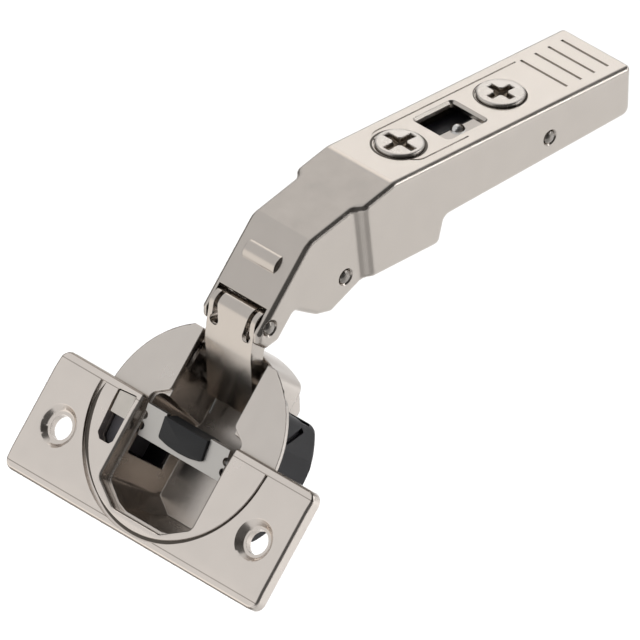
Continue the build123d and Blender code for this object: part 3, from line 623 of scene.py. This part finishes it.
def cross_depth(x, y, reach):
    """Two crossed bars and a round middle, deepest at the centre."""
    bars = [
        soft_step(BAR_HALF - np.abs(across), BAR_SLOPE)
        * soft_step(reach - np.abs(along), BAR_END_SLOPE)
        for along, across in ((x, y), (y, x))
    ]
    middle = soft_step(MIDDLE_R - np.hypot(x, y), MIDDLE_SLOPE)
    mask = np.maximum(np.maximum(*bars), middle)
    return mask * (CROSS_DEPTH - CROSS_RISE * np.hypot(x, y))


print("cross depth in mm, middle and 2 mm out:", cross_depth(0, 0, 3), cross_depth(2, 0, 3))

# %% [markdown]
# A screw is turned on a lathe, so its surface is a profile turned round an axis. The rows of the
# crown then sink by the depth of the cross. An attribute says how deep each point lies, and a
# painted shade in the metal's colour deepens with it, for the shade inside the cross.

# %% Screw heads
CROWN_R, CROWN_ROWS, CROWN_FALL = 3.7, 60, 0.005
HEAD_RIM = [(3.88, 0.555), (3.99, 0.50), (4.06, 0.42), (HEAD_R, 0.32), (HEAD_R, -0.1)]
HEAD_STEPS, PEG_STEPS = 192, 48
DARK_R, DARK_START, DARK_RANGE = 3.6, 0.14, 0.35


def points_of(piece):
    """The piece's points in mm, one row for each."""
    places = np.empty(3 * len(piece.data.vertices))
    piece.data.vertices.foreach_get("co", places)
    return places.reshape(-1, 3) / MM


def add_mask(piece, values):
    """Attribute of painted shade, which the painted shade colour of a metal follows."""
    layer = piece.data.attributes.new("painted_shade", "FLOAT", "POINT")
    layer.data.foreach_set("value", values)


def head_profile():
    """From the middle of the top, a little crowned, round the rim and down to the neck."""
    radius = np.linspace(0, CROWN_R, CROWN_ROWS)
    crown = np.column_stack([radius, HEAD_TOP - CROWN_FALL * radius**2])
    return np.vstack([crown, HEAD_RIM, [(HEAD_R, HEAD_FOOT)]])


def paint_cross_shade(piece, u):
    """Painted shade: 0 on the head's top, and 1 at the depth where the cross is dark."""
    offset = points_of(piece) - on_arm(0, u, 0)
    below_top = HEAD_TOP - offset @ OUTWARD
    inside = np.hypot(offset @ SIDEWAYS, offset @ ALONG) < DARK_R
    depth = np.clip((below_top - DARK_START) / DARK_RANGE, 0, 1)
    add_mask(piece, np.where(inside, depth, 0.0))


def make_screw(name, u, reach, lower, extra=()):
    """Turned head and shank, with the cross's depth taken from the rows of the crown."""
    profile = np.vstack([head_profile(), lower])
    grid = turned_points(profile, on_arm(0, u, 0), OUTWARD, SIDEWAYS, HEAD_STEPS)
    offset = grid[:CROWN_ROWS] - on_arm(0, u, 0)
    depth = cross_depth(offset @ SIDEWAYS, offset @ ALONG, reach)
    grid[:CROWN_ROWS] -= depth[..., None] * OUTWARD
    piece = make_piece(name + "_turned", [grid, *extra], "screw_steel", name)
    paint_cross_shade(piece, u)
    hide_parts(name)
    print(piece.name, "points:", len(piece.data.vertices))


# %% Both screws, down to the neck, the thread's stand-in and the eccentric peg
SIDE_SCREW_U, DEPTH_SCREW_U = 9.0, 32.3
NECK = [(2.0, HEAD_FOOT), (2.0, -1.25)]
side_lower = NECK + [(2.8, -1.25), (2.8, -1.9), (1.65, -1.9), (1.65, -8.0), (1.4, -8.2), (0, -8.2)]
depth_lower = NECK + [(3.4, -1.25), (3.4, -2.5), (0, -2.5)]
peg_profile = [(0, -2.3), (0.9, -2.3), (0.9, -3.9), (0.7, -4.1), (0, -4.1)]
peg_foot = on_arm(2.4, DEPTH_SCREW_U, 0)
peg = turned_points(peg_profile, peg_foot, OUTWARD, SIDEWAYS, PEG_STEPS)
make_screw("side_screw", SIDE_SCREW_U, 3.3, side_lower)
make_screw("depth_screw", DEPTH_SCREW_U, 2.7, depth_lower, extra=[peg])

# %% [markdown]
# Each head lies in a round sink with a narrow gap, which lies in shadow and looks almost black.
# A thin dark ring of painted shadow fills it.

# %% Painted shadow rings in the screw sinks
RING_STEPS = 160
# Each ring: its screw's place along the arm, its shift sideways and along, and its width
SHADOW_RINGS = {
    "side_screw_gap_shadow": (SIDE_SCREW_U, -0.10, -0.10, 0.42),
    "depth_screw_gap_shadow": (DEPTH_SCREW_U, -0.05, -0.06, 0.20),
}


def make_shadow_ring(name, u, shift_x, shift_u, width):
    """Flat ring whose section runs up the sink's wall and ends just above the arm's face."""
    section = [(4.15, -0.27), (4.28, -0.27), (4.31, 0.0), (4.31 + width, 0.014),
               (4.33 + width, -0.03), (4.15, -0.29)]
    foot = on_arm(shift_x, u + shift_u, 0)
    ring = turned_points(section + section[:1], foot, OUTWARD, SIDEWAYS, RING_STEPS)
    make_piece(name, [ring], "painted_shadow", "arm")


for name, values in SHADOW_RINGS.items():
    make_shadow_ring(name, *values)
print("gap rings:", list(SHADOW_RINGS))

# %% [markdown]
# The crescent groove in the flange is as dark as the screw sinks, and so is the gap in front of
# the arm's nose: both lie in shade. A dark strip of painted shade lies on the groove's floor, and
# a dark lip and floor of painted shade close the gap.

# %% Painted shade strips in the groove and under the nose
GROOVE_ANGLES = (179, 184, 192, 205, 222, 240, 252, 300, 345, 361)
GROOVE_WIDTHS = (0.15, 0.65, 1.0, 1.0, 0.55, 0.3, 0.45, 0.55, 0.4, 0.15)
GROOVE_INNER_R, GROOVE_POINTS = 18.3, 160
GROOVE_CENTRE = np.array([0.0, 0.2])
LIP_HALF, LIP_POINTS = 5.2, 12


def make_strip(name, inner, outer, low, high, body):
    """Closed band between two lines of (x, y) points, from the height low to the height high."""
    levels = np.array([low, high, high, low, low])
    lines = np.stack([inner, inner, outer, outer, inner])
    band = np.dstack([lines, np.broadcast_to(levels[:, None], lines.shape[:2])])
    middle = band.mean(axis=0)
    first, last = (np.broadcast_to(end, (len(levels), 1, 3)) for end in (middle[0], middle[-1]))
    grid = np.concatenate([first, band, last], axis=1).transpose(1, 0, 2)
    make_piece(name, [grid], "painted_shadow", body)


def straight(y, share=1.0):
    """Line across the arm's nose, or across a share of its width."""
    return np.column_stack([np.linspace(-LIP_HALF, LIP_HALF, LIP_POINTS) * share,
                            np.full(LIP_POINTS, y)])


angle = np.radians(np.linspace(179.2, 360.8, GROOVE_POINTS))
groove_line = np.column_stack([np.cos(angle), np.sin(angle)])
width = np.interp(np.degrees(angle), GROOVE_ANGLES, GROOVE_WIDTHS)
outer_r = np.minimum(GROOVE_INNER_R + width, 19.07 - 0.35 * np.cos(angle))
make_strip("groove_shade", groove_line * GROOVE_INNER_R + GROOVE_CENTRE,
           groove_line * outer_r[:, None] + GROOVE_CENTRE, 1.8, 1.95, "cup")
make_strip("nose_lip_shade", straight(23.74), straight(24.6), 4.25, 4.52, "arm")
make_strip("nose_floor_shade", straight(22.95, 0.94), straight(24.6, 0.94), 1.9, 2.1, "arm")
print("widest place of the groove's strip in mm:", round(float(width.max()), 2))

# %% [markdown]
# The pins are cut from round wire and pressed at both ends into low domes. A dome mirrors the
# dark side of the room on its upper half and the bright floor on its lower half.

# %% Pins with domed ends
DOME_BEND, DOME_ROWS, PIN_STEPS = 46, 14, 64
PIN_SIDE = np.array([0.0, 1.0, 0.0])
# Each pin: its place in y and z, its radius and half its length
PINS = {
    "front_arm_pin": ((21.4, 4.0), 1.2, 6.95),
    "second_arm_pin": ((34.15, -7.64), 1.2, 6.95),
    "rear_axle_pin": (tuple(on_arm(0, 36, -6)[1:]), 1.1, 8.35),
}


def make_pin(name, place, radius, half_length):
    """Spherical cap, straight side, spherical cap, turned round the X axis."""
    bend = np.radians(np.linspace(0, DOME_BEND, DOME_ROWS))
    cap_r = radius / sin(radians(DOME_BEND))
    right = np.column_stack([cap_r * np.sin(bend), half_length - cap_r * (1 - np.cos(bend))])
    left = np.column_stack([right[::-1, 0], -right[::-1, 1]])
    foot = np.array([0.0, *place])
    grid = turned_points(np.vstack([right, left]), foot, SIDEWAYS, PIN_SIDE, PIN_STEPS)
    # The domed pins take the darker steel, which paints shade on them.
    piece = make_piece(name + "_domed", [grid], "shaded_pin_steel", "arm")
    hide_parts(name)


for name, values in PINS.items():
    make_pin(name, *values)
print("pins:", len(PINS))

# %% [markdown]
# Other pieces keep their solid's form and change it in places. Each is a merged copy of the
# solid, so that its points can be moved, its faces cut and its edges bevelled.

# %% Helpers for a copy of a solid
SAME_PLACE = 1e-6
FACE_WEIGHT = 100


def merged_copy(node, name, flat_angle=3):
    """One closed mesh from a node's loose triangles, with flat areas joined to single faces."""
    work = bmesh.new()
    work.from_mesh(nodes[node].data)
    bmesh.ops.remove_doubles(work, verts=work.verts, dist=SAME_PLACE)
    bmesh.ops.dissolve_limit(work, angle_limit=radians(flat_angle), verts=work.verts,
                             edges=work.edges)
    mesh = bpy.data.meshes.new(name)
    work.to_mesh(mesh)
    work.free()
    return new_object(name, mesh)


def cut_lines(piece, axis, levels):
    """Rows of new points where planes across one axis pass through the piece."""
    work = bmesh.new()
    work.from_mesh(piece.data)
    normal = Vector([1.0 if i == axis else 0.0 for i in range(3)])
    for level in levels:
        everything = list(work.verts) + list(work.edges) + list(work.faces)
        bmesh.ops.bisect_plane(work, geom=everything, plane_co=normal * level * MM,
                               plane_no=normal)
    work.to_mesh(piece.data)
    work.free()


def move_points(piece, points_mm):
    piece.data.vertices.foreach_set("co", (points_mm * MM).ravel())
    piece.data.update()


def finish_copy(piece, finish, body, node, angle, level_flats=True):
    give_finish(piece.data, finish)
    smooth_surface(piece.data, angle)
    if level_flats:
        level = piece.modifiers.new("level flats", "WEIGHTED_NORMAL")
        level.weight = FACE_WEIGHT
        level.keep_sharp = True
    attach(piece, body)
    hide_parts(node)
    print(piece.name, "faces:", len(piece.data.polygons))


# %% [markdown]
# The outer link is a channel pressed from sheet. Beside its rolled eye two teardrop openings let
# the sheet bend, and its folds are round. The openings are cut with a Boolean, and a Bevel
# rounds the folds.

# %% Outer link with teardrop openings
TEARDROP_X, TEARDROP_Y, TEARDROP_R = 3.55, 18.25, 0.8
TEARDROP_TIP = [(4.2, 22.3), (3.75, 22.3)]
TEARDROP_LOW, TEARDROP_HIGH = 2.1, 8.0


def teardrop_cutter(side):
    """Prism whose outline is a circle drawn out to a narrow end nearer the pin."""
    turn = np.radians(np.linspace(150, 390, 25))
    round_end = np.column_stack([TEARDROP_X + TEARDROP_R * np.cos(turn),
                                 TEARDROP_Y + TEARDROP_R * np.sin(turn)])
    outline = np.vstack([round_end, TEARDROP_TIP])
    outline[:, 0] *= side
    count = len(outline)
    rings = [np.column_stack([outline, np.full(count, level)])
             for level in (TEARDROP_LOW, TEARDROP_HIGH)]
    walls = [(i, (i + 1) % count, count + (i + 1) % count, count + i) for i in range(count)]
    caps = [tuple(range(count))[::-1], tuple(range(count, 2 * count))]
    mesh = bpy.data.meshes.new("teardrop")
    mesh.from_pydata((np.vstack(rings) * MM).tolist(), [], walls + caps)
    close_up(mesh)
    return new_object("teardrop", mesh)


def cut_away(piece, cutter):
    """Boolean cut that becomes part of the piece's mesh."""
    cut = piece.modifiers.new("teardrop", "BOOLEAN")
    cut.operation = "DIFFERENCE"
    cut.solver = "EXACT"
    cut.object = cutter
    evaluated = piece.evaluated_get(bpy.context.evaluated_depsgraph_get())
    mesh = bpy.data.meshes.new_from_object(evaluated)
    piece.modifiers.clear()
    piece.data = mesh
    bpy.data.objects.remove(cutter)


def round_long_folds(piece, half_width=5.2, last_y=17.3, radius=1.0):
    """Bevel the edges where the web's outer face meets the side flanges."""
    work = bmesh.new()
    work.from_mesh(piece.data)
    folds = []
    for edge in work.edges:
        ends = [v.co / MM for v in edge.verts]
        on_side = all(abs(abs(p.x) - half_width) < 0.02 and p.y < last_y for p in ends)
        if on_side and len(edge.link_faces) == 2:
            tilt = [abs(f.normal.x) for f in edge.link_faces]
            upward = max(f.normal.z - f.normal.y for f in edge.link_faces)
            if max(tilt) > 0.9 and min(tilt) < 0.1 and upward > 0.9:
                folds.append(edge)
    bmesh.ops.bevel(work, geom=folds, offset=radius * MM, segments=6, profile=0.5,
                    affect="EDGES", clamp_overlap=True)
    work.to_mesh(piece.data)
    work.free()
    print("rounded folds:", len(folds))


outer_link_piece = merged_copy("outer_link", "outer_link_pressed")
for side in (1, -1):
    cut_away(outer_link_piece, teardrop_cutter(side))
round_long_folds(outer_link_piece)
finish_copy(outer_link_piece, "link_nickel", "outer_link", "outer_link", 32, level_flats=False)

# %% [markdown]
# The steel cup is deep drawn, so its lower corners under the nose are drawn in. The copy of the
# cup has them moved: the deeper a point lies below the nose, the more it is pulled back.

# %% Cup with drawn corners
NOSE_BAND = 1.6
NOSE_Y, NOSE_R, NOSE_SHRINK = 12.5, 15.2, 0.065
DEPTH_START, DEPTH_RANGE = -9.2, 2.8
PULL_START, PULL_SHARE = 11.0, 0.85


def draw_in(points_mm):
    """Points below the nose slide back in proportion to their depth, and its top rounds in."""
    drawn = points_mm.copy()
    x, y, z = points_mm.T
    rise = np.clip(1 + z / NOSE_BAND, 0, 1)
    on_nose = (y > NOSE_Y) & (np.hypot(x, y) > NOSE_R) & (z < 0.02) & (np.abs(y - 16.0) > 0.02)
    shrink = np.where(on_nose, 1 - NOSE_SHRINK * rise**2, 1.0)
    drawn[:, :2] *= shrink[:, None]
    depth = np.clip((DEPTH_START - z) / DEPTH_RANGE, 0, 1)
    beyond = np.clip(drawn[:, 1] - PULL_START, 0, None)
    drawn[:, 1] -= PULL_SHARE * depth * beyond
    return drawn


cup_piece = merged_copy("hinge_cup", "hinge_cup_drawn", flat_angle=0.5)
cut_lines(cup_piece, 2, [-NOSE_BAND * share for share in (1.0, 0.6, 0.3)])
points = points_of(cup_piece)
move_points(cup_piece, draw_in(points))
x, y, z = points.T
radius = np.hypot(x, y)
# Painted shade on the rounded top of the cup's nose, for the dark reflection there.
roll_shade_mask = (radius > 16.9) & (radius < 17.6) & (y > NOSE_Y) & (z > -1.2) & (z < 0.02)
add_mask(cup_piece, np.where(roll_shade_mask, 0.8, 0.0))
finish_copy(cup_piece, "cup_nickel", "cup", "hinge_cup", 28, level_flats=False)

# %% [markdown]
# The flange plate rolls down round its rim, and a pressed line runs along both long sides. Both
# look dark, so the plate's copy carries a mask of painted shade there, for their dark reflection.

# %% Flange plate with its pressed lines
FLANGE_BACK, FLANGE_FRONT, FLANGE_TOP = -19.5, 2.0, 2.4
LINE_INSET, LINE_HALF = 1.35, 0.13
LINE_SHADE, ROLL_SHADE = 0.7, 0.8

flange_piece = merged_copy("flange_plate", "flange_plate_lined", flat_angle=0.5)
line_steps = (0.5, LINE_INSET - LINE_HALF, LINE_INSET, LINE_INSET + LINE_HALF)
cut_lines(flange_piece, 1, [FLANGE_BACK + step for step in line_steps])
cut_lines(flange_piece, 1, [FLANGE_FRONT - step for step in line_steps])
x, y, z = points_of(flange_piece).T
inset = np.minimum(y - FLANGE_BACK, FLANGE_FRONT - y)
line_shade_mask = (np.abs(inset - LINE_INSET) < LINE_HALF * 0.6) & (z > FLANGE_TOP - 0.4)
roll_shade_mask = (inset < 0.45) & (z > FLANGE_TOP - 0.9) & (z < FLANGE_TOP - 0.33) & (np.abs(x) < 28.3)
add_mask(flange_piece, np.where(line_shade_mask, LINE_SHADE, np.where(roll_shade_mask, ROLL_SHADE, 0.0)))
finish_copy(flange_piece, "plate_nickel", "cup", "flange_plate", 28)

# %% [markdown]
# The zinc frame between the dampers shows a flat face with wavy ends, close under the mouth. The
# copies lift its plate and the pad by a millimetre, and the pad's lower corners are less round.

# %% Frame of the dampers
FRAME_LIFT = 1.1
FRAME_TILT = np.arctan2(1.6, 5.4)
FRAME_MIDDLE = np.array([0.0, -1.5, -0.7])
PLATE_HALF_X, PLATE_HALF_Z = 9.45, 0.62


def frame_height(points_mm):
    """Height of each point over the middle plane of the frame's plate."""
    return (points_mm - FRAME_MIDDLE) @ np.array([0.0, -np.sin(FRAME_TILT), np.cos(FRAME_TILT)])


frame_piece = merged_copy("actuator_frame", "actuator_frame_lifted", flat_angle=0.5)
points = points_of(frame_piece)
in_plate = np.abs(points[:, 0]) < PLATE_HALF_X
in_plate &= np.abs(frame_height(points)) < PLATE_HALF_Z
points[:, 2] += FRAME_LIFT * in_plate
move_points(frame_piece, points)
finish_copy(frame_piece, "zinc_grey", "damper_slide", "actuator_frame", 30)

# %% [markdown]
# The pad, the switch tab and the dark floor of its slot are small blocks. Each is one outline
# with rounded corners, carried up in a few levels, the last ones a little smaller for the rim.

# %% Helpers for small blocks
def prism(name, outline, low, high, finish, body, tilt=0.0, rim=0.12):
    """Block with a slightly rounded top rim; one with a tilt lies on the frame's plate."""
    outline = np.asarray(outline, dtype=float)
    middle = outline.mean(axis=0)
    levels = [(0.0, low), (1.0, low), (1.0, high - rim), (1.0 - 0.3 * rim / 5, high - 0.3 * rim),
              (1.0 - rim / 5, high), (0.0, high)]
    x, y, z = np.moveaxis([
        np.column_stack([middle + (outline - middle) * share, np.full(len(outline), level)])
        for share, level in levels
    ], -1, 0)
    grid = np.stack([x, y * np.cos(tilt) - z * np.sin(tilt), y * np.sin(tilt) + z * np.cos(tilt)],
                    axis=-1)
    if tilt:
        grid = grid + FRAME_MIDDLE
    closed = np.concatenate([grid, grid[:, :1]], axis=1)
    return make_piece(name, [closed], finish, body, angle=40)


def rounded(corners, radii, steps=8):
    """Outline whose corners are arcs, given in turning order."""
    corners = np.asarray(corners, dtype=float)
    line = []
    for i, (corner, radius) in enumerate(zip(corners, radii)):
        back = corners[i - 1] - corner
        ahead = corners[(i + 1) % len(corners)] - corner
        start = corner + back / np.linalg.norm(back) * radius
        end = corner + ahead / np.linalg.norm(ahead) * radius
        share = np.linspace(0, 1, steps)[:, None]
        line.append((1 - share) ** 2 * start + 2 * share * (1 - share) * corner + share**2 * end)
    return np.vstack(line)


# %% Pad, switch tab and what lies under it
PAD = [(-4.93, 2.8), (-4.93, -0.95), (-2.6, -1.45), (0.0, -1.62), (2.6, -1.45), (4.93, -0.95),
       (4.93, 2.8)]
PAD_RADII = (0.1, 0.5, 0.6, 0.6, 0.6, 0.5, 0.1)
TAB = [(-15.15, 0.62), (-14.92, -3.1), (-11.55, -3.1), (-11.62, 0.9)]
SLOT = [(-15.4, 0.7), (-14.85, -6.95), (-13.95, -7.8), (-12.05, -7.8), (-11.5, -7.15),
        (-11.6, 1.0)]
INNER_WALL = [(-13.15, -7.6), (-12.9, -7.6), (-12.9, -0.5), (-13.15, -0.5)]

pad_piece = prism("actuator_pad_lifted", rounded(PAD, PAD_RADII), -1.0, 1.0 + FRAME_LIFT,
                  "pad_plastic", "damper_slide", tilt=FRAME_TILT)
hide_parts("actuator_pad")
tab_piece = prism("switch_tab_wide", rounded(TAB, (0.2,) * 4), 0.15, 2.15, "cream_plastic",
                  "switch")
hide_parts("switch_tab")
# The slot's floor and inner wall take the lighter copy of the black plastic, as painted light.
prism("slot_floor", rounded(SLOT, (0.3,) * 6), -0.78, 0.05, "lit_slot_plastic", "cup")
prism("housing_inner_left", INNER_WALL, -9.0, -1.3, "lit_slot_plastic", "cup", rim=0.02)
print("pad points:", len(pad_piece.data.vertices), "tab points:", len(tab_piece.data.vertices))

# %% [markdown]
# Through the arm's window one sees the dark gap in the clip rail and a small bright bump on it.
# A thin dark plate of painted shade lies on the rail beside its own window, and the bump is a
# turned cap.

# %% What shows in the arm's window
SHADE = np.array([(-4.2, 16.6), (-1.0, 16.6), (-1.0, 27.6), (-4.2, 27.6)])
SHADE_LOW, SHADE_HIGH = -3.05, -2.80
BUMP_R, BUMP_BEND, BUMP_ROWS, BUMP_STEPS = 1.5, 60, 14, 48

shade_middle = SHADE.mean(axis=0)
rings = []
for share, level in ((0.0, SHADE_LOW), (1.0, SHADE_LOW), (1.0, SHADE_HIGH), (0.0, SHADE_HIGH)):
    flat = shade_middle + (SHADE - shade_middle) * share
    rings.append([on_arm(x, u, level) for x, u in np.vstack([flat, flat[:1]])])
# The plate takes the housing's black plastic as painted shade for the gap.
make_piece("rail_shade", [np.array(rings)], "housing_plastic", "clip_rail", angle=30)
bend = np.radians(np.linspace(0, BUMP_BEND, BUMP_ROWS))
cap = np.column_stack([BUMP_R * np.sin(bend), BUMP_R * np.cos(bend) - BUMP_R])
cap = np.vstack([cap, [(1.2, -1.2), (0.0, -1.2)]])
bump = turned_points(cap, on_arm(-0.6, 23.1, -2.2), OUTWARD, SIDEWAYS, BUMP_STEPS)
make_piece("rail_bump", [bump], "bright_steel", "clip_rail")
print("bump's width in mm:", round(2 * float(cap[:, 0].max()), 2))

# %% [markdown]
# The latch lever presses its coil spring flat against the clip rail as it turns, so the real
# spring shortens with that joint, towards its end on the rail. Its copy here keeps one shape: it
# gets its finish and smooth shading and rides on the clip rail.

# %% Latch spring
spring_piece = merged_copy("latch_spring", "latch_spring_coil", flat_angle=0.1)
points = points_of(spring_piece)
give_finish(spring_piece.data, "spring_wire")
spring_piece.data.shade_smooth()
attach(spring_piece, "clip_rail")
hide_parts("latch_spring")
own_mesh(spring_piece)
